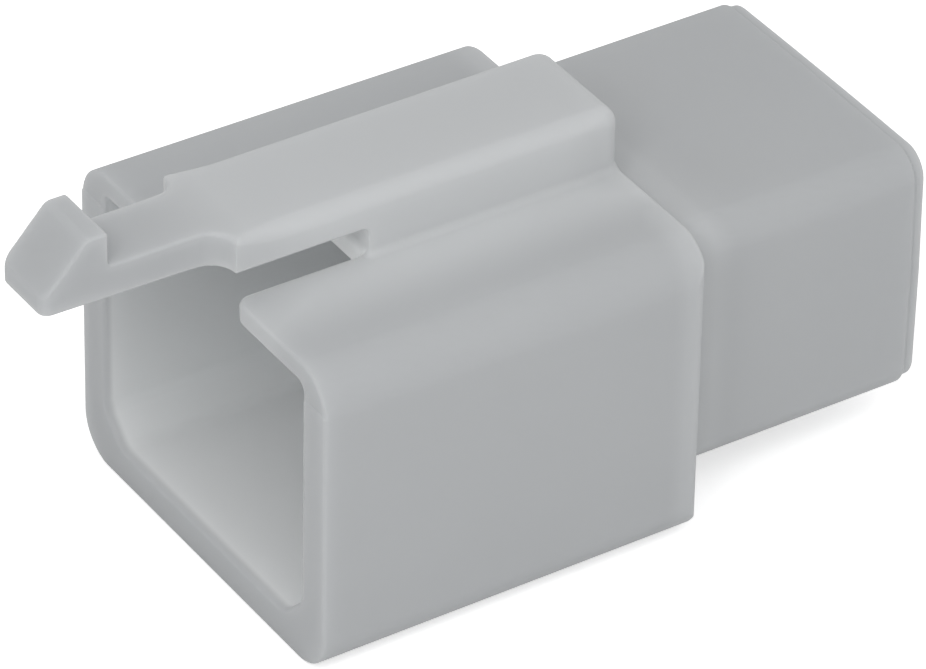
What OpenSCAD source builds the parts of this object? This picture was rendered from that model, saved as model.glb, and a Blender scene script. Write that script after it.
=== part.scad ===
// Shrouded plug housing for wire leads, moulded in one piece.
// The mouth faces -X, the wires enter at +X, and the latch arm is on top (+Z).
// The origin is the middle of the whole length and width, at the underside.

/* [Shroud] */
// Length of the shroud along the mating direction
shroud_length = 20; // [17:0.5:24]
// Width of the shroud
shroud_width = 20.7; // [20.2:0.1:24]
// Height of the shroud, without the latch
shroud_height = 16; // [15.8:0.1:18]
// Radius of the four long outer corners
shroud_corner = 2.1; // [1.4:0.1:2.6]
// Radius of the two upright edges at the shroud's rear, seen from above
shroud_rear_corner = 0.7; // [0.4:0.1:1.2]
// Thickness of the two side walls
side_wall = 1.9; // [1.4:0.1:2]
// Thickness of the bottom wall
bottom_wall = 1.75; // [1.2:0.05:1.9]
// Thickness of the top wall
top_wall = 1.1; // [1:0.05:1.4]
// Depth of the mouth, from its front edge to the terminal wall
mouth_depth = 14; // [11:0.5:14.5]
// Radius of the mouth's upper corners
mouth_corner = 0.5; // [0.3:0.1:0.8]
// Size of the bevel in the mouth's lower corners, which fits one way round only
key_bevel = 1.45; // [0.8:0.05:2]
// Size of the bevel round the front edge of the mouth
lead_in = 0.2; // [0.1:0.05:0.4]

/* [Wire end] */
// Length of the wire end behind the shroud
wire_end_length = 13.4; // [10:0.1:16]
// Width of the wire end
wire_end_width = 16.2; // [16:0.1:16.6]
// Height of the wire end
wire_end_height = 13.1; // [13:0.1:13.4]
// Height of the wire end's underside above the shroud's underside
wire_end_lift = 1.8; // [1.7:0.05:2]
// Radius of the wire end's four long corners
wire_end_corner = 1.5; // [1:0.1:1.5]
// Length of the thinner collar at the very end
collar_length = 0.6; // [0.3:0.1:1]
// Step down from the wire end to its collar
collar_step = 0.2; // [0.1:0.05:0.4]

/* [Terminal cavities] */
// Width of one terminal cavity
cavity_width = 6.6; // [6.4:0.1:6.6]
// Height of one terminal cavity
cavity_height = 5; // [4.8:0.1:5]
// Thickness of the wall between two cavities side by side
column_wall = 0.9; // [0.8:0.1:1]
// Thickness of the floor between the two rows
row_wall = 1.1; // [1:0.1:1.2]
// Thickness of the terminal wall at the end of the mouth
terminal_wall = 1.6; // [1.2:0.1:2.4]
// Height of the slit that a flat terminal blade passes through
blade_slit = 1.8; // [1.4:0.1:2.6]
// Size of the funnel bevel at each cavity's rear edge
cavity_bevel = 0.3; // [0.1:0.05:0.35]
// Depth of the recess that a terminal's spring tongue snaps into
recess_depth = 0.45; // [0.3:0.05:0.5]
// Width of that recess
recess_width = 3.2; // [2:0.1:4]
// Length of that recess
recess_length = 4.5; // [3:0.5:8]

/* [Latch] */
// Width of the raised latch block
latch_width = 6.1; // [5.6:0.1:6.4]
// Height of the latch block above the shroud
latch_height = 3.2; // [2.8:0.1:3.6]
// Radius along the latch block's two upper edges
latch_round = 0.8; // [0.3:0.1:1]
// Radius of the latch block's upper edge at the rear
latch_rear_round = 1; // [0.4:0.1:1.2]
// Radius of the latch block's two upright edges at the rear
latch_rear_corner = 0.6; // [0.3:0.1:1]
// Radius of the hollow curve where the latch block rises from the shroud
latch_fillet = 0.4; // [0.2:0.1:0.6]
// Gap between the latch tongue and the top of the shroud
tongue_gap = 1.45; // [1.2:0.05:1.6]
// Length of the free tongue and of the notch below it, from the mouth to their common end wall
tongue_length = 6.8; // [5:0.1:8]
// Width of the notch in the top wall below the tongue
notch_width = 5.5; // [4.5:0.1:5.6]
// Radius of the top wall's corners at the front of the notch
notch_corner = 0.8; // [0.3:0.1:1]
// Width of the narrow arm in front of the mouth
arm_width = 3.6; // [3:0.1:4.4]
// How far the arm reaches in front of the mouth
arm_reach = 8.9; // [7:0.1:11]
// How much the arm's underside rises towards its tip
arm_rise = 0.15; // [0.05:0.05:0.5]
// Height of the hook above the arm
hook_height = 1.7; // [1:0.1:2]
// Length of the hook's flat crest
hook_crest = 1.05; // [0.6:0.05:1.4]
// Distance from the arm's tip to the hook's steep rear face
hook_length = 3.3; // [3:0.1:3.6]
// Height of the blunt nose below the hook's ramp
nose_height = 0.85; // [0.6:0.05:1.1]
// Radius of the nose's two upright edges
nose_corner = 0.5; // [0.2:0.1:0.8]

/* [Hidden] */

arc_steps = 64;
tiny = 0.01;
overlap = 1;
sides = [-1, 1];

overall_length = arm_reach + shroud_length + wire_end_length;
mouth_x = arm_reach - overall_length / 2;
rear_x = overall_length / 2;
shroud_rear_x = mouth_x + shroud_length;
terminal_wall_x = mouth_x + mouth_depth;
cavity_x = terminal_wall_x + terminal_wall;
recess_setback = 1.5;
recess_x = shroud_rear_x + recess_setback;

mouth_width = shroud_width - 2 * side_wall;
mouth_height = shroud_height - bottom_wall - top_wall;
wire_end_middle = wire_end_lift + wire_end_height / 2;
column_offset = (cavity_width + column_wall) / 2;
row_offset = (cavity_height + row_wall) / 2;

latch_top = shroud_height + latch_height;
tongue_bottom = shroud_height + tongue_gap;
arm_flare = (latch_width - arm_width) / 2;
tip_x = mouth_x - arm_reach;
tip_chamfer = 0.15;
hook_top = latch_top + hook_height;
hook_back_x = tip_x + hook_length;
hook_front_x = hook_back_x - hook_crest;
tip_bottom = tongue_bottom + arm_rise;
nose_top = tip_bottom + nose_height;

// Stands a flat outline drawn in Y and Z up, and extrudes it along +X.
module along_x(length) {
    rotate([90, 0, 90]) linear_extrude(length) children();
}

// Stands a flat outline drawn in X and Z up, and extrudes it along Y, centred.
module across_y(width) {
    translate([0, width / 2, 0]) rotate([90, 0, 0]) linear_extrude(width) children();
}

// A rectangle with round corners, centred on Y and standing on Z = 0.
module round_rectangle(width, height, radius) {
    translate([-width / 2, radius]) square([width, height - 2 * radius]);
    translate([radius - width / 2, 0]) square([width - 2 * radius, height]);
    for (side = sides, level = [radius, height - radius])
        translate([side * (width / 2 - radius), level]) circle(r = radius, $fn = arc_steps);
}

// A plan outline along +X, centred on Y, with its two corners at the far end rounded.
module round_ended_plan(length, width, radius) {
    y_corner = width / 2 - radius;
    translate([0, -width / 2]) square([length - radius, width]);
    translate([0, -y_corner]) square([length, 2 * y_corner]);
    for (side = sides)
        translate([length - radius, side * y_corner]) circle(r = radius, $fn = arc_steps);
}

// The outside of the shroud, solid.
module shroud_outside() {
    translate([mouth_x, 0, 0]) intersection() {
        along_x(shroud_length) round_rectangle(shroud_width, shroud_height, shroud_corner);
        linear_extrude(shroud_height)
            round_ended_plan(shroud_length, shroud_width, shroud_rear_corner);
    }
}

// The outside of the wire end, solid, with its collar.
module wire_end_outside() {
    body_length = wire_end_length - collar_length;
    translate([shroud_rear_x - overlap, 0, wire_end_lift])
        along_x(body_length + overlap)
            round_rectangle(wire_end_width, wire_end_height, wire_end_corner);
    translate([shroud_rear_x, 0, wire_end_lift + collar_step])
        along_x(wire_end_length)
            round_rectangle(wire_end_width - 2 * collar_step, wire_end_height - 2 * collar_step,
                            wire_end_corner - collar_step);
}

// The mouth's outline in Y and Z: bevelled below, round above.
module mouth_outline() {
    half = mouth_width / 2;
    low = bottom_wall;
    high = low + mouth_height;
    polygon([[-half, low + key_bevel], [key_bevel - half, low], [half - key_bevel, low],
             [half, low + key_bevel], [half, high - mouth_corner], [half - mouth_corner, high],
             [mouth_corner - half, high], [-half, high - mouth_corner]]);
    for (side = sides)
        translate([side * (half - mouth_corner), high - mouth_corner])
            circle(r = mouth_corner, $fn = arc_steps);
}

// The hollow that takes the mating connector, with its lead-in bevels.
module mouth() {
    translate([mouth_x - overlap, 0, 0]) along_x(mouth_depth + overlap) mouth_outline();
    lead_in_bevels();
}

// The bevel round the mouth's front edge: one prism for each straight wall.
module lead_in_bevels() {
    reach = lead_in + tiny;
    wedge = [[-tiny, -tiny], [-tiny, reach], [0, lead_in], [lead_in, 0], [lead_in, -tiny]];
    straight = mouth_width - 2 * key_bevel;
    translate([mouth_x, 0, bottom_wall]) mirror([0, 0, 1]) across_y(straight) polygon(wedge);
    translate([mouth_x, 0, bottom_wall + mouth_height])
        across_y(mouth_width - 2 * mouth_corner) polygon(wedge);
    side_straight = mouth_height - key_bevel - mouth_corner;
    for (side = sides)
        translate([mouth_x, side * mouth_width / 2, bottom_wall + key_bevel])
            mirror([0, side < 0 ? 1 : 0, 0]) linear_extrude(side_straight) polygon(wedge);
}

// One terminal cavity with its blade slit, funnel bevels and spring recess.
module terminal_cavity(row) {
    half_height = cavity_height / 2;
    wedge = [[tiny, -tiny], [tiny, cavity_bevel + tiny], [0, cavity_bevel], [-cavity_bevel, 0],
             [-cavity_bevel, -tiny]];
    translate([cavity_x, -cavity_width / 2, -half_height])
        cube([rear_x - cavity_x + overlap, cavity_width, cavity_height]);
    translate([terminal_wall_x - overlap, -cavity_width / 2, -blade_slit / 2])
        cube([terminal_wall + 2 * overlap, cavity_width, blade_slit]);
    translate([recess_x, -recess_width / 2, row * half_height - recess_depth])
        cube([recess_length, recess_width, 2 * recess_depth]);
    for (side = sides)
        mirror([0, 0, side < 0 ? 1 : 0]) translate([rear_x, 0, half_height])
            across_y(cavity_width - 2 * tiny) polygon(wedge);
}

// The four terminal cavities, in two rows.
module terminal_cavities() {
    for (row = sides, column = sides)
        translate([0, column * column_offset, wire_end_middle + row * row_offset])
            terminal_cavity(row);
}

// The latch block's section in Y and Z: round above, with hollow curves at its foot.
module latch_section() {
    y_round = latch_width / 2 - latch_round;
    base = shroud_height - top_wall;
    translate([-latch_width / 2, base]) square([latch_width, latch_top - latch_round - base]);
    translate([-y_round, base]) square([2 * y_round, latch_top - base]);
    for (side = sides)
        translate([side * y_round, latch_top - latch_round])
            circle(r = latch_round, $fn = arc_steps);
}

// The latch bar seen from the side: the tongue in front and the block behind it.
module latch_profile() {
    rear = shroud_length;
    polygon([[0, tongue_bottom], [tongue_length, tongue_bottom],
             [tongue_length, shroud_height - top_wall], [rear, shroud_height - top_wall],
             [rear, latch_top - latch_rear_round], [rear - latch_rear_round, latch_top],
             [0, latch_top]]);
    translate([rear - latch_rear_round, latch_top - latch_rear_round])
        circle(r = latch_rear_round, $fn = arc_steps);
}

// The tongue and the raised block behind it, as one bar.
module latch_bar() {
    translate([mouth_x, 0, 0]) intersection() {
        along_x(shroud_length) latch_section();
        across_y(latch_width) latch_profile();
        linear_extrude(latch_top)
            round_ended_plan(shroud_length, latch_width, latch_rear_corner);
    }
}

// The hollow curves along the foot of the latch block.
module latch_feet() {
    block_length = shroud_length - tongue_length;
    edge = latch_width / 2;
    for (side = sides)
        translate([mouth_x + tongue_length, 0, shroud_height])
            along_x(block_length - latch_rear_corner) difference() {
                translate([side * (edge + latch_fillet / 2), latch_fillet / 2 - tiny / 2])
                    square([latch_fillet, latch_fillet + tiny], center = true);
                translate([side * (edge + latch_fillet), latch_fillet])
                    circle(r = latch_fillet, $fn = arc_steps);
            }
}

// The narrow arm with its hook, seen from the side.
module arm_profile() {
    root_x = mouth_x + tongue_length / 2;
    polygon([[root_x, tongue_bottom], [mouth_x, tongue_bottom],
             [tip_x + tip_chamfer, tip_bottom], [tip_x, tip_bottom + tip_chamfer],
             [tip_x, nose_top], [hook_front_x, hook_top], [hook_back_x, hook_top],
             [hook_back_x, latch_top], [root_x, latch_top]]);
}

// The arm seen from above: round corners at the nose, hollow curves where it meets the tongue.
module arm_plan() {
    mirror([1, 0]) translate([-mouth_x - overlap, 0])
        round_ended_plan(arm_reach + overlap, arm_width, nose_corner);
    difference() {
        translate([mouth_x - arm_flare, -latch_width / 2])
            square([arm_flare + tiny, latch_width]);
        for (side = sides)
            translate([mouth_x - arm_flare, side * latch_width / 2])
                circle(r = arm_flare, $fn = arc_steps);
    }
}

// The arm, flared where it meets the wider tongue.
module arm() {
    intersection() {
        across_y(latch_width) arm_profile();
        linear_extrude(hook_top) arm_plan();
    }
}

// The notch in the top wall below the tongue, with rounded corners at its open end.
module notch() {
    half = notch_width / 2;
    translate([mouth_x, 0, shroud_height - top_wall - overlap])
        linear_extrude(top_wall + overlap + tongue_gap / 2) {
            translate([-overlap, -half]) square([tongue_length + overlap, notch_width]);
            difference() {
                translate([-overlap, -half - notch_corner])
                    square([notch_corner + overlap, notch_width + 2 * notch_corner]);
                for (side = sides)
                    translate([notch_corner, side * (half + notch_corner)])
                        circle(r = notch_corner, $fn = arc_steps);
            }
        }
}

module housing() {
    color([0.72, 0.73, 0.73]) {
        difference() {
            union() {
                shroud_outside();
                wire_end_outside();
            }
            mouth();
            terminal_cavities();
            notch();
        }
        latch_bar();
        latch_feet();
        arm();
    }
}

housing();
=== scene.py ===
"""A shrouded plug housing for wire leads, moulded in one piece of natural nylon.

Lengths in the classes below are in millimetres unless a class says otherwise. The housing's own axes
start at the mouth: x runs from the mouth towards the wires, y across the width and z up from the
underside of the shroud. One method, Housing.depth, says how far any point lies outside (positive) or
inside (negative) the nylon, and the mesh is drawn where it is zero.
"""

import logging
import math
from dataclasses import dataclass, field
from enum import Enum

import bpy
import numpy as np
from mathutils import Matrix, Vector


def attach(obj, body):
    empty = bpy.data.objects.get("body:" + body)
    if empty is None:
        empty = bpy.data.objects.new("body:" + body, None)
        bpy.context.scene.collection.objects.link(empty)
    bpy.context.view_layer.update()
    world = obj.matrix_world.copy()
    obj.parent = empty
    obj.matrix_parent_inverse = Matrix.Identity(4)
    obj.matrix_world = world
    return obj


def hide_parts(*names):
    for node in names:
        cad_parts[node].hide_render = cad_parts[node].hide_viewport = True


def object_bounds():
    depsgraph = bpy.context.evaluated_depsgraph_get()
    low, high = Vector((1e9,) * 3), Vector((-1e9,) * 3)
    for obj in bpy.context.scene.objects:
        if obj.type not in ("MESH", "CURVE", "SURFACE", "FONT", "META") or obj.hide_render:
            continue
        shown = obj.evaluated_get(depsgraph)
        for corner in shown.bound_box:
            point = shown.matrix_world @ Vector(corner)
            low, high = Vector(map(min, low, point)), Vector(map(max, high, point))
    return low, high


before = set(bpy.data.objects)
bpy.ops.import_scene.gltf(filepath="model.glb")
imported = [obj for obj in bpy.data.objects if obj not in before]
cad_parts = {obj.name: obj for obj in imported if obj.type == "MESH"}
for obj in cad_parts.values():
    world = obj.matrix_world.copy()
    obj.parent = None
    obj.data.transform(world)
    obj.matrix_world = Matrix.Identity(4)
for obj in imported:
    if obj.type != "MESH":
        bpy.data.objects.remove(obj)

# One millimetre in the frame's metres.
MM = 0.001
# How far a cutting shape runs past the face that it opens.
OVERLAP = 1.0
WHITE = (1.0, 1.0, 1.0, 1.0)
CAD_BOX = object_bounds()
LOG = logging.getLogger("housing")

Grid = np.ndarray
Point = tuple[Grid, Grid, Grid]
Tree = bpy.types.NodeTree
Socket = bpy.types.NodeSocket


# Joining and cutting of distances -----------------------------------------------------------------


def round_meet(a: Grid, b: Grid, radius: float) -> Grid:
    """What two shapes share, with a rounded edge where their surfaces meet.

    Args:
        a: Distance to the first shape.
        b: Distance to the second shape.
        radius: Radius of the edge.

    Returns:
        Distance to the common part.
    """
    outer = np.hypot(np.maximum(a + radius, 0), np.maximum(b + radius, 0))
    return np.minimum(np.maximum(a, b), -radius) + outer


def round_join(a: Grid, b: Grid, radius: float) -> Grid:
    """Two shapes as one, with a hollow fillet where their surfaces meet.

    Args:
        a: Distance to the first shape.
        b: Distance to the second shape.
        radius: Radius of the fillet.

    Returns:
        Distance to the joined shape.
    """
    return -round_meet(-a, -b, radius)


def cut(a: Grid, b: Grid, radius: float) -> Grid:
    """Distance to the first shape without the second, with a rounded edge along the cut."""
    return round_meet(a, -b, radius)


def between(value: Grid, low: float, high: float) -> Grid:
    """Distance to the slab between two parallel planes."""
    return np.maximum(low - value, value - high)


def round_rectangle(u: Grid, v: Grid, half_u: Grid, low: Grid, high: Grid, radius: float) -> Grid:
    """Distance to a rectangle with round corners, centred on u.

    Args:
        u: Coordinate across the rectangle.
        v: Coordinate along its height.
        half_u: Half of its width.
        low: Its lower edge.
        high: Its upper edge.
        radius: Radius of its corners.

    Returns:
        Distance to the rectangle.
    """
    return round_meet(np.abs(u) - half_u, np.abs(v - (low + high) / 2) - (high - low) / 2, radius)


# The sub-assemblies -------------------------------------------------------------------------------


@dataclass(frozen=True)
class Shroud:
    """The open box at the front, with its mouth and the notch in its top wall."""

    length: float = 20.0
    width: float = 20.7
    height: float = 16.0
    corner: float = 2.1
    rear_corner: float = 0.7
    front_edge: float = 0.18
    rear_edge: float = 0.25
    side_draft: float = 0.1
    top_draft: float = 0.06
    side_wall: float = 1.9
    floor: float = 1.75
    top_wall: float = 1.1
    mouth_depth: float = 14.0
    mouth_corner: float = 0.5
    key_bevel: float = 1.45
    mouth_edge: float = 0.3
    lip: float = 0.25
    notch_half: float = 2.75
    notch_length: float = 6.8
    notch_corner: float = 0.8
    notch_end: float = 0.3
    notch_edge: float = 0.2
    notch_sink: float = 0.6

    @property
    def ceiling(self) -> float:
        """Height of the mouth's upper wall."""
        return self.height - self.top_wall

    def outside(self, p: Point) -> Grid:
        """The shroud as a solid block, a little narrower towards the rear.

        Args:
            p: Arrays of x, y and z.

        Returns:
            Distance to the block.
        """
        x, y, z = p
        share = np.clip(x / self.length, 0, 1)
        half = self.width / 2 - self.side_draft * share
        high = self.height - self.top_draft * share
        section = round_rectangle(y, z, half, 0.0, high, self.corner)
        plan = round_meet(np.abs(y) - half, x - self.length, self.rear_corner)
        block = round_meet(section, x - self.length, self.rear_edge)
        return round_meet(np.maximum(block, plan), -x, self.front_edge)

    def mouth(self, p: Point) -> Grid:
        """The hollow of the mouth, bevelled in its lower corners.

        Args:
            p: Arrays of x, y and z.

        Returns:
            Distance to the hollow.
        """
        x, y, z = p
        half = self.width / 2 - self.side_wall
        section = round_rectangle(y, z, half, self.floor, self.ceiling, self.mouth_corner)
        bevel = (np.abs(y) - half + self.floor - z + self.key_bevel) / math.sqrt(2)
        section = round_meet(section, bevel, self.mouth_edge)
        return round_meet(section, x - self.mouth_depth, self.mouth_edge)

    def notch(self, p: Point) -> Grid:
        """The notch in the top wall, flared at its open end.

        Args:
            p: Arrays of x, y and z.

        Returns:
            Distance to the notch.
        """
        x, y, z = p
        slot = round_meet(np.abs(y) - self.notch_half, x - self.notch_length, self.notch_end)
        plan = round_join(slot, x, self.notch_corner)
        return np.maximum(plan, between(z, self.ceiling - self.notch_sink, self.height + OVERLAP))


@dataclass(frozen=True)
class WireEnd:
    """The narrower block behind the shroud, with the terminal cavities inside."""

    start: float = 20.0
    length: float = 13.4
    width: float = 16.2
    height: float = 13.1
    lift: float = 1.8
    corner: float = 1.5
    side_draft: float = 0.1
    crown: float = 0.06
    collar_length: float = 0.6
    collar_step: float = 0.2
    rear_edge: float = 0.15
    root: float = 3.0
    cavity_width: float = 6.6
    cavity_height: float = 5.0
    column_wall: float = 0.9
    row_wall: float = 1.1
    terminal_wall: float = 1.6
    blade_slit: float = 1.8
    mouth_depth: float = 14.0
    recess_depth: float = 0.45
    recess_width: float = 3.2
    recess_length: float = 4.5
    recess_start: float = 21.5
    cavity_edge: float = 0.2
    slit_edge: float = 0.15

    @property
    def rear(self) -> float:
        """Where the wire end stops."""
        return self.start + self.length

    @property
    def middle(self) -> float:
        """Height of the parting line, half way up."""
        return self.lift + self.height / 2

    def block(self, p: Point, shrink: float, end: float) -> Grid:
        """Distance to the wire end's outer block.

        Args:
            p: Arrays of x, y and z.
            shrink: How far each face lies inside the full size.
            end: Where the block stops along x.

        Returns:
            Distance to the block.
        """
        x, y, z = p
        rise = np.abs(z - self.middle) / (self.height / 2)
        half = self.width / 2 - shrink - self.side_draft * rise
        sag = self.crown * np.clip(y / half, -1, 1) ** 2
        low = self.lift + shrink + sag
        high = self.lift + self.height - shrink - sag
        section = round_rectangle(y, z, half, low, high, self.corner - shrink)
        length = np.maximum(x - end, self.start - self.root - x)
        return round_meet(section, length, self.rear_edge)

    def outside(self, p: Point) -> Grid:
        """The wire end and its collar, as one solid block.

        Args:
            p: Arrays of x, y and z.

        Returns:
            Distance to the block.
        """
        body = self.block(p, 0.0, self.rear - self.collar_length)
        collar = self.block(p, self.collar_step, self.rear)
        return np.minimum(body, collar)

    def cavities(self, p: Point) -> Grid:
        """The terminal cavities, with their blade slits and recesses.

        Args:
            p: Arrays of x, y and z.

        Returns:
            Distance to the cavities.
        """
        x, y, z = p
        column = np.abs(np.abs(y) - (self.cavity_width + self.column_wall) / 2)
        half_height = self.cavity_height / 2
        row = np.abs(z - self.middle) - (self.cavity_height + self.row_wall) / 2
        front = self.mouth_depth + self.terminal_wall
        side = column - self.cavity_width / 2
        hollow = round_meet(side, np.abs(row) - half_height, self.cavity_edge)
        hollow = np.maximum(hollow, front - x)
        slit = round_meet(side, np.abs(row) - self.blade_slit / 2, self.slit_edge)
        slit = np.maximum(slit, self.mouth_depth - OVERLAP - x)
        recess_length = between(x, self.recess_start, self.recess_start + self.recess_length)
        recess = np.maximum(column - self.recess_width / 2, recess_length)
        recess = np.maximum(recess, between(row, 0, half_height + self.recess_depth))
        return np.minimum(np.minimum(hollow, slit), recess)


@dataclass(frozen=True)
class Latch:
    """The raised block on the shroud, its tongue over the notch, and the hooked arm in front."""

    half_width: float = 3.05
    top: float = 19.2
    base: float = 15.2
    rear: float = 20.0
    block_edge: float = 0.8
    arm_edge: float = 0.12
    rear_edge: float = 1.0
    tongue_bottom: float = 17.45
    tongue_length: float = 6.8
    lower_edge: float = 0.12
    gap_corner: float = 0.4
    edge_start: float = -1.3
    edge_run: float = 4.0
    arm_half: float = 1.8
    arm_reach: float = 8.9
    arm_rise: float = 0.15
    nose_corner: float = 0.5
    nose_top: float = 18.45
    hook_top: float = 20.9
    hook_back: float = -5.6
    hook_front: float = -6.65
    hook_edge: float = 0.15
    hook_fillet: float = 0.2

    def plan(self, x: Grid, y: Grid) -> Grid:
        """The latch seen from above: block, flare and narrow arm.

        Args:
            x: Coordinate along the latch.
            y: Coordinate across it.

        Returns:
            Distance to the plan.
        """
        block = np.maximum(np.abs(y) - self.half_width, -x)
        plan = round_join(np.abs(y) - self.arm_half, block, self.half_width - self.arm_half)
        return round_meet(plan, -self.arm_reach - x, self.nose_corner)

    def upper(self, x: Grid, z: Grid) -> Grid:
        """The latch's upper outline seen from the side, with the hook.

        Args:
            x: Coordinate along the latch.
            z: Height.

        Returns:
            Distance to what lies below the outline.
        """
        tip = -self.arm_reach
        run = self.hook_front - tip
        rise = self.hook_top - self.nose_top
        ramp = (rise * (tip - x) + run * (z - self.nose_top)) / math.hypot(rise, run)
        hook = round_meet(z - self.hook_top, x - self.hook_back, self.hook_edge)
        bar = round_meet(z - self.top, x - self.rear, self.rear_edge)
        return round_meet(round_join(bar, hook, self.hook_fillet), ramp, self.hook_fillet)

    def gap(self, x: Grid, z: Grid) -> Grid:
        """Distance to the open space below the tongue and the arm."""
        underside = self.tongue_bottom + self.arm_rise * np.clip(-x / self.arm_reach, 0, 1)
        return round_meet(x - self.tongue_length, z - underside, self.gap_corner)

    def solid(self, p: Point) -> Grid:
        """The whole latch; its upper edges grow rounder from the arm to the block.

        Args:
            p: Arrays of x, y and z.

        Returns:
            Distance to the latch.
        """
        x, y, z = p
        share = np.clip((x - self.edge_start) / self.edge_run, 0, 1)
        edge = self.arm_edge + (self.block_edge - self.arm_edge) * share * share * (3 - 2 * share)
        latch = round_meet(self.plan(x, y), self.upper(x, z), edge)
        latch = cut(latch, self.gap(x, z), self.lower_edge)
        return np.maximum(latch, self.base - z)


# The mesh -----------------------------------------------------------------------------------------


@dataclass(frozen=True)
class Lattice:
    """Planes across one axis: close together near the edges of the shape and wide apart elsewhere."""

    low: float
    high: float
    marks: tuple[float, ...]
    fine: float = 0.075
    coarse: float = 0.9
    reach: float = 0.16
    growth: float = 0.55
    longest_stride: float = 0.6

    def planes(self) -> Grid:
        """Places the planes, with steps that grow away from the marks.

        Returns:
            Where the planes are, from low to high.
        """
        places = [self.low]
        marks = np.array(self.marks)
        while places[-1] < self.high:
            away = max(0.0, float(np.abs(marks - places[-1]).min()) - self.reach)
            ahead = marks[marks > places[-1]]
            room = float(ahead.min()) - self.reach - places[-1] if ahead.size else self.coarse
            step = min(self.coarse, self.fine + self.growth * away)
            places.append(places[-1] + min(step, max(self.fine, room * self.longest_stride)))
        return np.array(places)


@dataclass
class Skin:
    """The surface where a distance is zero, as points and four-sided faces."""

    points: Grid
    quads: Grid

    @classmethod
    def wrap(cls, value: Grid, xs: Grid, ys: Grid, zs: Grid) -> "Skin":
        """Lays one point in each lattice cell that the surface passes through, and joins them.

        Args:
            value: Distance at every crossing of the planes.
            xs: Planes along x.
            ys: Planes along y.
            zs: Planes along z.

        Returns:
            The surface.
        """
        inside = value < 0
        count = np.zeros(tuple(n - 1 for n in value.shape), np.int8)
        corners = [(i, j, k) for i in (0, 1) for j in (0, 1) for k in (0, 1)]
        nx, ny, nz = count.shape
        for i, j, k in corners:
            count += inside[i:i + nx, j:j + ny, k:k + nz]
        cell = np.argwhere((count > 0) & (count < 8))
        number = np.full(count.shape, -1, np.int64)
        number[tuple(cell.T)] = np.arange(len(cell))
        total = np.zeros((len(cell), 3))
        hits = np.zeros(len(cell))
        for a in corners:
            for axis in range(3):
                if a[axis]:
                    continue
                b = tuple(1 if n == axis else c for n, c in enumerate(a))
                start = cell + a
                stop = cell + b
                va = value[tuple(start.T)]
                vb = value[tuple(stop.T)]
                crossed = (va < 0) != (vb < 0)
                share = np.where(crossed, va / np.where(crossed, va - vb, 1), 0)
                pa = np.stack([xs[start[:, 0]], ys[start[:, 1]], zs[start[:, 2]]], 1)
                pb = np.stack([xs[stop[:, 0]], ys[stop[:, 1]], zs[stop[:, 2]]], 1)
                total += np.where(crossed[:, None], pa + share[:, None] * (pb - pa), 0)
                hits += crossed
        quads = [cls._faces(inside, number, axis) for axis in range(3)]
        return cls(total / hits[:, None], np.concatenate(quads))

    @staticmethod
    def _faces(inside: Grid, number: Grid, axis: int) -> Grid:
        """One face round each lattice edge along an axis that passes through the surface.

        Args:
            inside: Whether each crossing of the planes lies inside the shape.
            number: Number of the point in each cell, or -1 where there is none.
            axis: The axis that the edges run along.

        Returns:
            Four point numbers for each face.
        """
        first = np.moveaxis(inside, axis, 0)
        cells = np.moveaxis(number, axis, 0)
        edge = np.argwhere(first[:-1, 1:-1, 1:-1] != first[1:, 1:-1, 1:-1])
        i, j, k = edge[:, 0], edge[:, 1] + 1, edge[:, 2] + 1
        ring = np.stack(
            [cells[i, j - 1, k - 1], cells[i, j, k - 1], cells[i, j, k], cells[i, j - 1, k]], 1
        )
        outward = first[i, j, k]
        if axis == 1:
            outward = ~outward
        ring[~outward] = ring[~outward][:, ::-1]
        return ring


# The finish ---------------------------------------------------------------------------------------


def larger(tree: Tree, a: Socket, b: Socket) -> Socket:
    """The larger of two sockets' values.

    Args:
        tree: The material's nodes.
        a: One socket.
        b: The other socket.

    Returns:
        The socket that holds the larger value.
    """
    most = tree.nodes.new("ShaderNodeMath")
    most.operation = "MAXIMUM"
    tree.links.new(a, most.inputs[0])
    tree.links.new(b, most.inputs[1])
    return most.outputs["Value"]


def noise(tree: Tree, place: Socket, scale: float, detail: float) -> Socket:
    """A noise over the object's own space.

    Args:
        tree: The material's nodes.
        place: The socket that holds the position.
        scale: Waves in each metre.
        detail: How many finer layers are added.

    Returns:
        The socket that holds the noise.
    """
    made = tree.nodes.new("ShaderNodeTexNoise")
    made.inputs["Scale"].default_value = scale
    made.inputs["Detail"].default_value = detail
    tree.links.new(place, made.inputs["Vector"])
    return made.outputs["Fac"]


def blend(tree: Tree, share: Socket) -> bpy.types.Node:
    """A mix of two colours, A and B.

    Args:
        tree: The material's nodes.
        share: The socket that holds B's share.

    Returns:
        The mix node.
    """
    made = tree.nodes.new("ShaderNodeMix")
    made.data_type = "RGBA"
    tree.links.new(share, made.inputs["Factor"])
    return made


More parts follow.
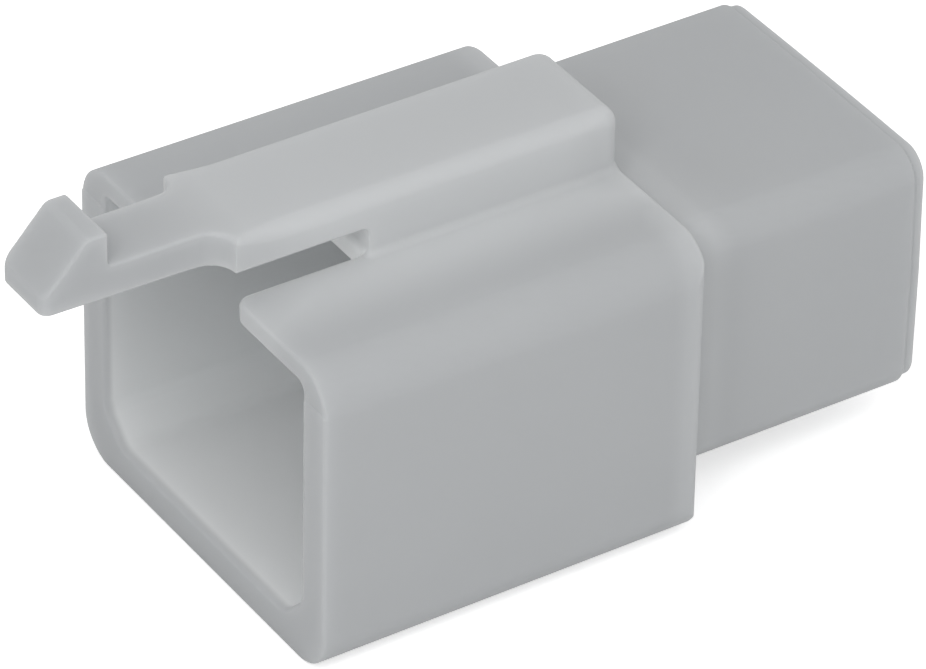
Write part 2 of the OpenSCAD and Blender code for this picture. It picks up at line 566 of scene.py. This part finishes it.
@dataclass(frozen=True)
class PaintedLightBox:
    """A soft box round a hollow or a corner, where painted light lifts the colour: a paler base
    colour that stands in for light through the plastic filling the shade there.

    The box lies in the housing's own axes, in millimetres. The share of painted light runs evenly
    from the box's foot to its head.
    """

    centre: tuple[float, float, float]
    half: tuple[float, float, float]
    fade: float
    foot_share: float
    head_share: float

    def share(self, tree: Tree, place: Socket) -> Socket:
        """The share of painted light at each height.

        Args:
            tree: The material's nodes.
            place: The socket that holds the position.

        Returns:
            The socket that holds the share.
        """
        height = tree.nodes.new("ShaderNodeSeparateXYZ")
        tree.links.new(place, height.inputs["Vector"])
        made = tree.nodes.new("ShaderNodeMapRange")
        made.inputs["From Min"].default_value = (self.centre[2] - self.half[2]) * MM
        made.inputs["From Max"].default_value = (self.centre[2] + self.half[2]) * MM
        made.inputs["To Min"].default_value = self.foot_share
        made.inputs["To Max"].default_value = self.head_share
        tree.links.new(height.outputs["Z"], made.inputs["Value"])
        return made.outputs["Result"]

    def mask(self, tree: Tree, place: Socket, mouth_x: float) -> Socket:
        """The box's share of painted light, fading to nought outside it.

        Args:
            tree: The material's nodes.
            place: The socket that holds the position.
            mouth_x: Where the mouth's plane lies in the frame, in millimetres.

        Returns:
            The socket that holds the share.
        """
        x, y, z = self.centre
        steps = (
            ("SUBTRACT", ((x + mouth_x) * MM, y * MM, z * MM)),
            ("DIVIDE", tuple(size * MM for size in self.half)),
            ("ABSOLUTE", (0.0, 0.0, 0.0)),
        )
        socket = place
        for operation, value in steps:
            step = tree.nodes.new("ShaderNodeVectorMath")
            step.operation = operation
            step.inputs[1].default_value = value
            tree.links.new(socket, step.inputs[0])
            socket = step.outputs["Vector"]
        parts = tree.nodes.new("ShaderNodeSeparateXYZ")
        tree.links.new(socket, parts.inputs["Vector"])
        most = larger(tree, parts.outputs["X"], parts.outputs["Y"])
        most = larger(tree, most, parts.outputs["Z"])
        edge = tree.nodes.new("ShaderNodeMapRange")
        edge.interpolation_type = "SMOOTHSTEP"
        edge.inputs["From Min"].default_value = 1.0 + self.fade
        edge.inputs["From Max"].default_value = 1.0 - self.fade
        tree.links.new(self.share(tree, place), edge.inputs["To Max"])
        tree.links.new(most, edge.inputs["Value"])
        return edge.outputs["Result"]


@dataclass(frozen=True)
class Nylon:
    """Natural nylon as it leaves the mould: satin and cloudy, with painted light lifting its colour
    in the hollows.

    Noise scales are waves in each metre, and the glow's and the grain's depths are in metres.
    """

    slot: str = "nylon"
    colour: tuple[float, float, float] = (0.470, 0.482, 0.492)
    shade: tuple[float, float, float] = (0.454, 0.467, 0.478)
    # Painted light: the pale colour laid into the hollows and creases in place of light that fills
    # them.
    painted_light_colour: tuple[float, float, float] = (0.840, 0.855, 0.860)
    glow_depth: float = 0.0025
    glow_share: float = 0.5
    refraction: float = 1.53
    gloss: float = 0.3
    smoothest: float = 0.55
    roughest: float = 0.65
    cloud_scale: float = 130.0
    rough_scale: float = 420.0
    grain_scale: float = 3200.0
    grain_strength: float = 0.12
    grain_depth: float = 0.00003
    # Boxes of painted light, where the colour is lifted towards the pale one to stand in for light in
    # the mouth, the gap and the creases.
    painted_light_boxes: tuple[PaintedLightBox, ...] = (
        # The mouth: painted light, strongest on the floor and less towards the top wall.
        PaintedLightBox((7.3, 0.0, 8.325), (7.0, 8.7, 6.8), fade=0.04, foot_share=1.0, head_share=0.4),
        # The gap between the notch and the tongue: painted light all through.
        PaintedLightBox((3.35, 0.0, 16.15), (3.45, 2.9, 1.15), fade=0.05, foot_share=1.0, head_share=1.0),
        # The corner round the foot of the latch: a little painted light in the crease.
        PaintedLightBox((10.6, -0.6, 16.9), (9.6, 4.8, 2.3), fade=0.45, foot_share=0.4, head_share=0.4),
        # The step between the shroud and the wire end: a little painted light in the crease.
        PaintedLightBox((20.6, 0.0, 8.3), (1.6, 9.6, 8.2), fade=0.6, foot_share=0.18, head_share=0.18),
    )

    def material(self, mouth_x: float) -> bpy.types.Material:
        """Builds the finish: cloudy colour with painted light in the hollows, a fine satin grain and
        light that sinks in.

        Args:
            mouth_x: Where the mouth's plane lies in the frame, in millimetres.

        Returns:
            The material.
        """
        made = bpy.data.materials.new("natural_nylon")
        made.use_nodes = True
        tree = made.node_tree
        shader = tree.nodes["Principled BSDF"]
        shader.inputs["IOR"].default_value = self.refraction
        shader.inputs["Specular IOR Level"].default_value = self.gloss
        shader.inputs["Subsurface Weight"].default_value = self.glow_share
        shader.inputs["Subsurface Radius"].default_value = (1.0, 1.0, 1.0)
        shader.inputs["Subsurface Scale"].default_value = self.glow_depth
        place = tree.nodes.new("ShaderNodeTexCoord").outputs["Object"]
        tree.links.new(self.clouds(tree, place, mouth_x), shader.inputs["Base Color"])
        tree.links.new(self.roughness(tree, place), shader.inputs["Roughness"])
        tree.links.new(self.grain(tree, place), shader.inputs["Normal"])
        return made

    def clouds(self, tree: Tree, place: Socket, mouth_x: float) -> Socket:
        """The cloudy colour, lifted by painted light in the hollows.

        Args:
            tree: The material's nodes.
            place: The socket that holds the position.
            mouth_x: Where the mouth's plane lies in the frame, in millimetres.

        Returns:
            The socket that holds the colour.
        """
        plain = blend(tree, noise(tree, place, self.cloud_scale, detail=3.0))
        plain.inputs["A"].default_value = (*self.shade, 1.0)
        plain.inputs["B"].default_value = (*self.colour, 1.0)
        # Painted light: the largest share from any box lifts the colour towards the pale one.
        lift = self.painted_light_boxes[0].mask(tree, place, mouth_x)
        for hollow in self.painted_light_boxes[1:]:
            lift = larger(tree, lift, hollow.mask(tree, place, mouth_x))
        painted_light_mix = blend(tree, lift)
        tree.links.new(plain.outputs["Result"], painted_light_mix.inputs["A"])
        painted_light_mix.inputs["B"].default_value = (*self.painted_light_colour, 1.0)
        return painted_light_mix.outputs["Result"]

    def roughness(self, tree: Tree, place: Socket) -> Socket:
        """The satin surface, a little uneven.

        Args:
            tree: The material's nodes.
            place: The socket that holds the position.

        Returns:
            The socket that holds the roughness.
        """
        made = tree.nodes.new("ShaderNodeMapRange")
        made.inputs["To Min"].default_value = self.smoothest
        made.inputs["To Max"].default_value = self.roughest
        tree.links.new(noise(tree, place, self.rough_scale, detail=4.0), made.inputs["Value"])
        return made.outputs["Result"]

    def grain(self, tree: Tree, place: Socket) -> Socket:
        """The fine grain that the mould leaves.

        Args:
            tree: The material's nodes.
            place: The socket that holds the position.

        Returns:
            The socket that holds the surface's direction.
        """
        made = tree.nodes.new("ShaderNodeBump")
        made.inputs["Strength"].default_value = self.grain_strength
        made.inputs["Distance"].default_value = self.grain_depth
        tree.links.new(noise(tree, place, self.grain_scale, detail=3.0), made.inputs["Height"])
        return made.outputs["Normal"]


# The housing --------------------------------------------------------------------------------------


@dataclass
class Housing:
    """The whole moulding: shroud, wire end and latch as one skin."""

    name: str = "plug_housing"
    shroud: Shroud = field(default_factory=Shroud)
    wire_end: WireEnd = field(default_factory=WireEnd)
    latch: Latch = field(default_factory=Latch)
    finish: Nylon = field(default_factory=Nylon)
    joint_fillet: float = 0.15
    cavity_rim: float = 0.15
    latch_foot: float = 0.4
    most_triangles: int = 170_000
    margin: float = 0.5
    probe: float = 0.004
    longest_move: float = 0.1
    least_slope: float = 0.05

    @property
    def mouth_x(self) -> float:
        """Where the mouth's plane lies in the frame, in millimetres."""
        return CAD_BOX[0].x / MM + self.latch.arm_reach

    def depth(self, p: Point) -> Grid:
        """Measures from each point to the nylon's surface, negative inside.

        Args:
            p: Arrays of x, y and z, in the housing's own axes.

        Returns:
            The distances.
        """
        body = round_join(self.shroud.outside(p), self.wire_end.outside(p), self.joint_fillet)
        body = cut(body, self.shroud.mouth(p), self.shroud.lip)
        body = cut(body, self.wire_end.cavities(p), self.cavity_rim)
        body = cut(body, self.shroud.notch(p), self.shroud.notch_edge)
        return round_join(body, self.latch.solid(p), self.latch_foot)

    def lattices(self) -> tuple[Lattice, Lattice, Lattice]:
        """Sets the marks at every edge of the housing, a little to the side where it is rounded.

        Returns:
            The lattices along x, y and z.
        """
        s, w, t = self.shroud, self.wire_end, self.latch
        along = (
            -t.arm_reach + 0.1, -t.arm_reach + 0.4, t.hook_front, t.hook_back, 0.1, s.notch_corner,
            s.notch_length, t.tongue_length - 0.2, s.mouth_depth - 0.1,
            s.mouth_depth + w.terminal_wall, w.start - 0.8, w.start - 0.4, w.start,
            w.recess_start, w.recess_start + w.recess_length,
            w.rear - w.collar_length, w.rear - 0.1,
        )
        inner = s.width / 2 - s.side_wall
        column = (w.cavity_width + w.column_wall) / 2
        half = (
            w.column_wall / 2, t.arm_half - 0.1, column - w.recess_width / 2,
            s.notch_half, t.half_width - 0.5, t.half_width - 0.1,
            column + w.recess_width / 2, column + w.cavity_width / 2,
            inner - s.key_bevel, inner - 0.15, w.width / 2 - 0.3, w.width / 2,
            s.width / 2 - 0.9, s.width / 2 - 0.3,
        )
        across = tuple(-y for y in half) + half
        row = (w.cavity_height + w.row_wall) / 2
        up = [0.2, 0.9, s.floor - 0.1, s.floor + s.key_bevel, s.ceiling, s.ceiling + 0.15,
              s.height - 0.9, s.height - 0.2, s.height + 0.2,
              w.lift + 0.2, w.lift + w.height - 0.2,
              t.tongue_bottom, t.tongue_bottom + 0.2, t.top - 0.5, t.top - 0.1,
              t.hook_top - 0.1, t.nose_top]
        for side in (-1, 1):
            centre = w.middle + side * row
            up += [centre - w.cavity_height / 2, centre + w.cavity_height / 2]
            up += [centre - w.blade_slit / 2, centre + w.blade_slit / 2]
            up += [centre + side * (w.cavity_height / 2 + w.recess_depth)]
        gap = self.margin
        return (
            Lattice(-t.arm_reach - gap, w.rear + gap, along),
            Lattice(-s.width / 2 - gap, s.width / 2 + gap, across),
            Lattice(-gap, t.hook_top + gap, tuple(up)),
        )

    def settle(self, points: Grid, rounds: int = 3) -> Grid:
        """Moves points onto the surface, and finds which way it faces there.

        Args:
            points: One row of x, y and z for each point; they are moved in place.
            rounds: How many times they are moved.

        Returns:
            The outward direction at each point.
        """
        for turn in range(rounds + 1):
            slope = np.empty_like(points)
            for axis in range(3):
                step = np.zeros(3)
                step[axis] = self.probe
                ahead = self.depth(tuple((points + step).T))
                behind = self.depth(tuple((points - step).T))
                slope[:, axis] = (ahead - behind) / (2 * self.probe)
            size = np.maximum((slope ** 2).sum(1), self.least_slope)
            if turn < rounds:
                away = self.depth(tuple(points.T))
                move = np.clip(away, -self.longest_move, self.longest_move) / size
                points -= move[:, None] * slope
        return slope / np.linalg.norm(slope, axis=1)[:, None]

    def place(self, points: Grid) -> Grid:
        """Points of the housing's own axes in the frame, in metres."""
        return (points + (self.mouth_x, 0.0, 0.0)) * MM

    def mesh(self) -> bpy.types.Mesh:
        """Draws the skin, thins it out where it is flat, and lays its points on the surface.

        Returns:
            The mesh, in the frame's metres.
        """
        xs, ys, zs = (lattice.planes() for lattice in self.lattices())
        value = self.depth((xs[:, None, None], ys[None, :, None], zs[None, None, :]))
        skin = Skin.wrap(value, xs, ys, zs)
        self.settle(skin.points)
        LOG.info("lattice %d x %d x %d, %d faces", len(xs), len(ys), len(zs), len(skin.quads))
        made = self.thinned(skin)
        count = len(made.vertices)
        flat = np.empty(count * 3)
        made.vertices.foreach_get("co", flat)
        points = flat.reshape(count, 3)
        facing = self.settle(points)
        made.vertices.foreach_set("co", self.place(points).ravel())
        made.shade_smooth()
        made.normals_split_custom_set_from_vertices(facing.tolist())
        made.update()
        return made

    def thinned(self, skin: Skin) -> bpy.types.Mesh:
        """Merges the skin's faces where it is flat, down to the wanted number of triangles.

        Args:
            skin: The surface as it was drawn.

        Returns:
            A new mesh.
        """
        raw = bpy.data.meshes.new("skin")
        raw.from_pydata(skin.points.tolist(), [], skin.quads.tolist())
        rough = bpy.data.objects.new("skin", raw)
        bpy.context.scene.collection.objects.link(rough)
        thin = rough.modifiers.new("thin", "DECIMATE")
        thin.ratio = min(1.0, self.most_triangles / (2 * len(skin.quads)))
        graph = bpy.context.evaluated_depsgraph_get()
        made = bpy.data.meshes.new_from_object(rough.evaluated_get(graph))
        bpy.data.objects.remove(rough)
        return made

    def build(self) -> bpy.types.Object:
        """Makes the moulding, dresses it and hangs it on the frame.

        Returns:
            The dressed moulding.
        """
        piece = bpy.data.objects.new(self.name, self.mesh())
        piece.data.name = self.name
        bpy.context.scene.collection.objects.link(piece)
        piece.data.materials.clear()
        piece.data.materials.append(self.finish.material(self.mouth_x))
        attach(piece, "root")
        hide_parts("housing")
        return piece


# The studio ---------------------------------------------------------------------------------------


def direction(azimuth: float, elevation: float) -> Vector:
    """The way from the target to a viewer.

    Args:
        azimuth: Degrees round the target; 0 is on the -Y side, a negative one on the -X side.
        elevation: Degrees above the horizon.

    Returns:
        A vector of length one.
    """
    a = math.radians(azimuth)
    e = math.radians(elevation)
    return Vector((math.sin(a) * math.cos(e), -math.cos(a) * math.cos(e), math.sin(e)))


class Stand(Enum):
    """Where a lamp stands: its distance from the housing and its width, in metres."""

    CLOSE = (0.09, 0.05)
    FAR = (0.22, 0.06)


@dataclass(frozen=True)
class Lamp:
    """A square studio lamp that points at the housing.

    At a level of one, it alone lights a face turned towards it as brightly as a surround of
    strength one.
    """

    name: str
    azimuth: float
    elevation: float
    level: float
    stand: Stand

    def build(self, target: Vector) -> bpy.types.Object:
        """Hangs the lamp round a target.

        Args:
            target: What it points at.

        Returns:
            The lamp.
        """
        distance, width = self.stand.value
        data = bpy.data.lights.new(self.name, "AREA")
        data.shape = "SQUARE"
        data.size = width
        data.energy = self.level * (math.pi * distance) ** 2
        lamp = bpy.data.objects.new(self.name, data)
        back = direction(self.azimuth, self.elevation)
        lamp.location = target + back * distance
        lamp.rotation_mode = "QUATERNION"
        lamp.rotation_quaternion = (-back).to_track_quat("-Z", "Y")
        bpy.context.scene.collection.objects.link(lamp)
        return lamp


@dataclass(frozen=True)
class Studio:
    """Floor, surrounding light, lamps and camera.

    The camera's lengths are in millimetres. The floor's size, and its gap below the housing, are in
    metres.
    """

    azimuth: float = -33.354
    elevation: float = 35.451
    roll: float = 1.13
    distance: float = 331.503
    lens: float = 286.2
    aim: tuple[float, float, float] = (14.0, 0.0, 8.0)
    aim_right: float = -0.1805
    aim_up: float = -0.6216
    sensor_width: float = 36.0
    nearest: float = 10.0
    floor_size: float = 3.0
    floor_gap: float = 0.00002
    floor_colour: tuple[float, float, float] = (0.92, 0.92, 0.92)
    floor_roughness: float = 0.9
    floor_lift: float = 0.55
    surround: float = 0.68
    lamps: tuple[Lamp, ...] = (
        Lamp("key_lamp", -55.0, 42.0, 0.115, Stand.FAR),
        Lamp("front_lamp", -35.0, 50.0, 0.105, Stand.CLOSE),
        Lamp("side_lamp", 10.0, 45.0, 0.065, Stand.CLOSE),
    )

    def floor(self) -> bpy.types.Object:
        """Lays a plain pale floor that shows white and keeps the shadow.

        Returns:
            The floor.
        """
        half = self.floor_size / 2
        data = bpy.data.meshes.new("floor")
        corners = [(-half, -half, 0), (half, -half, 0), (half, half, 0), (-half, half, 0)]
        data.from_pydata(corners, [], [(0, 1, 2, 3)])
        floor = bpy.data.objects.new("floor", data)
        floor.location.z = CAD_BOX[0].z - self.floor_gap
        bpy.context.scene.collection.objects.link(floor)
        data.materials.append(self.paper())
        return floor

    def paper(self) -> bpy.types.Material:
        """The floor's matt paper, which only the camera sees lifted to white.

        Returns:
            The material.
        """
        paper = bpy.data.materials.new("pale_floor")
        paper.use_nodes = True
        tree = paper.node_tree
        shader = tree.nodes["Principled BSDF"]
        shader.inputs["Base Color"].default_value = (*self.floor_colour, 1.0)
        shader.inputs["Roughness"].default_value = self.floor_roughness
        shader.inputs["Specular IOR Level"].default_value = 0.0
        shader.inputs["Emission Color"].default_value = WHITE
        path = tree.nodes.new("ShaderNodeLightPath")
        lift = tree.nodes.new("ShaderNodeMath")
        lift.operation = "MULTIPLY"
        lift.inputs[1].default_value = self.floor_lift
        tree.links.new(path.outputs["Is Camera Ray"], lift.inputs[0])
        tree.links.new(lift.outputs["Value"], shader.inputs["Emission Strength"])
        return paper

    def world(self) -> None:
        """Sets a plain surround that lights the housing evenly and that the camera sees as white."""
        world = bpy.data.worlds.new("studio")
        bpy.context.scene.world = world
        world.use_nodes = True
        tree = world.node_tree
        tree.nodes.clear()
        out = tree.nodes.new("ShaderNodeOutputWorld")
        light = tree.nodes.new("ShaderNodeBackground")
        light.inputs["Color"].default_value = WHITE
        light.inputs["Strength"].default_value = self.surround
        white = tree.nodes.new("ShaderNodeBackground")
        white.inputs["Color"].default_value = WHITE
        path = tree.nodes.new("ShaderNodeLightPath")
        pick = tree.nodes.new("ShaderNodeMixShader")
        tree.links.new(path.outputs["Is Camera Ray"], pick.inputs["Fac"])
        tree.links.new(light.outputs["Background"], pick.inputs[1])
        tree.links.new(white.outputs["Background"], pick.inputs[2])
        tree.links.new(pick.outputs["Shader"], out.inputs["Surface"])

    def camera(self, mouth_x: float) -> bpy.types.Object:
        """Sets up the camera.

        Args:
            mouth_x: Where the mouth's plane lies in the frame, in millimetres.

        Returns:
            The camera.
        """
        data = bpy.data.cameras.new("camera")
        data.lens = self.lens
        data.sensor_width = self.sensor_width
        data.clip_start = self.nearest * MM
        camera = bpy.data.objects.new("camera", data)
        back = direction(self.azimuth, self.elevation)
        turn = (-back).to_track_quat("-Z", "Y").to_matrix() @ Matrix.Rotation(
            math.radians(self.roll), 3, "Z"
        )
        aim = Vector(self.aim) + Vector((mouth_x, 0, 0))
        aim += turn.col[0] * self.aim_right + turn.col[1] * self.aim_up
        camera.location = (aim + back * self.distance) * MM
        camera.rotation_mode = "QUATERNION"
        camera.rotation_quaternion = turn.to_quaternion()
        bpy.context.scene.collection.objects.link(camera)
        bpy.context.scene.camera = camera
        return camera

    def build(self, mouth_x: float) -> None:
        """Makes the studio round the housing.

        Args:
            mouth_x: Where the mouth's plane lies in the frame, in millimetres.
        """
        self.floor()
        self.world()
        target = Vector(((mouth_x + self.aim[0]) * MM, 0, self.aim[2] * MM))
        for lamp in self.lamps:
            lamp.build(target)
        self.camera(mouth_x)
        bpy.context.scene.view_settings.view_transform = "Standard"


def main() -> None:
    """Builds the housing and the studio round it."""
    logging.basicConfig(level=logging.INFO)
    housing = Housing()
    piece = housing.build()
    skin = piece.data
    LOG.info("%s: %d points, %d faces", piece.name, len(skin.vertices), len(skin.polygons))
    Studio().build(housing.mouth_x)
    LOG.info("studio ready")


if __name__ == "__main__":
    main()
